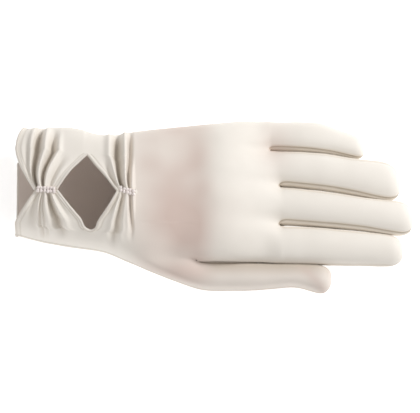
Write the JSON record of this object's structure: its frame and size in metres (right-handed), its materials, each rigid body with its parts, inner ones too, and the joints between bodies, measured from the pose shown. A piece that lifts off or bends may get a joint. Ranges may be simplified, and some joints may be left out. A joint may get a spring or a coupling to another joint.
{
  "type": "bridal glove",
  "caption": "Wrist-length left-hand dress glove in stretch satin, with a diamond window on the back of the wrist between two beaded gathers.",
  "frame": {"origin": "middle of the underside's bounding box, with the glove lying palm down on z = 0", "axes": "+X from the cuff towards the fingertips, +Y towards the little finger, +Z out of the back of the hand"},
  "size_m": [0.217, 0.0976, 0.0423],
  "materials": {
    "satin_back": "matte stretch satin, ivory",
    "satin_palm": "matte stretch satin, ivory",
    "satin_fourchette": "matte stretch satin, ivory",
    "satin_facing": "matte stretch satin, wrong side",
    "satin_loop": "matte stretch satin, ivory",
    "seed_bead": "pearly gloss",
    "thread": "plain sewing thread"
  },
  "bodies": {
    "hand": {"cuff_bead_threads": "thread", "cuff_beads": "seed_bead", "cuff_gather_loop": "satin_loop", "cuff_hem": "satin_facing", "hand_back_panel": "satin_back", "hand_bead_threads": "thread", "hand_beads": "seed_bead", "hand_gather_loop": "satin_loop", "palm_panel": "satin_palm", "window_facing": "satin_facing", "wrist_radial_panel": "satin_back", "wrist_ulnar_panel": "satin_back"},
    "index_finger": {"index_back_panel": "satin_back", "index_fourchette_middle_side": "satin_fourchette", "index_palm_panel": "satin_palm"},
    "middle_finger": {"middle_back_panel": "satin_back", "middle_fourchette_index_side": "satin_fourchette", "middle_fourchette_ring_side": "satin_fourchette", "middle_palm_panel": "satin_palm"},
    "ring_finger": {"ring_back_panel": "satin_back", "ring_fourchette_little_side": "satin_fourchette", "ring_fourchette_middle_side": "satin_fourchette", "ring_palm_panel": "satin_palm"},
    "little_finger": {"little_back_panel": "satin_back", "little_fourchette_ring_side": "satin_fourchette", "little_palm_panel": "satin_palm"},
    "thumb": {"thumb_back_panel": "satin_back", "thumb_palm_panel": "satin_palm"}
  },
  "joints": [
    {"name": "index_flex", "type": "hinge", "parent": "hand", "child": "index_finger", "pos_m": [0.036, -0.0217, 0], "axis": [0.0243, 0.9997, 0], "range_deg": [0, 80]},
    {"name": "middle_flex", "type": "hinge", "parent": "hand", "child": "middle_finger", "pos_m": [0.036, 0.0004, 0], "axis": [0.0711, 0.9975, 0], "range_deg": [0, 80]},
    {"name": "ring_flex", "type": "hinge", "parent": "hand", "child": "ring_finger", "pos_m": [0.036, 0.0216, 0], "axis": [0.1068, 0.9943, 0], "range_deg": [0, 80]},
    {"name": "little_flex", "type": "hinge", "parent": "hand", "child": "little_finger", "pos_m": [0.03, 0.0405, 0], "axis": [0.1132, 0.9936, 0], "range_deg": [0, 80]},
    {"name": "thumb_spread", "type": "hinge", "parent": "hand", "child": "thumb", "pos_m": [-0.0115, -0.0488, 0.0093], "axis": [0, 0, -1], "range_deg": [0, 45]}
  ]
}
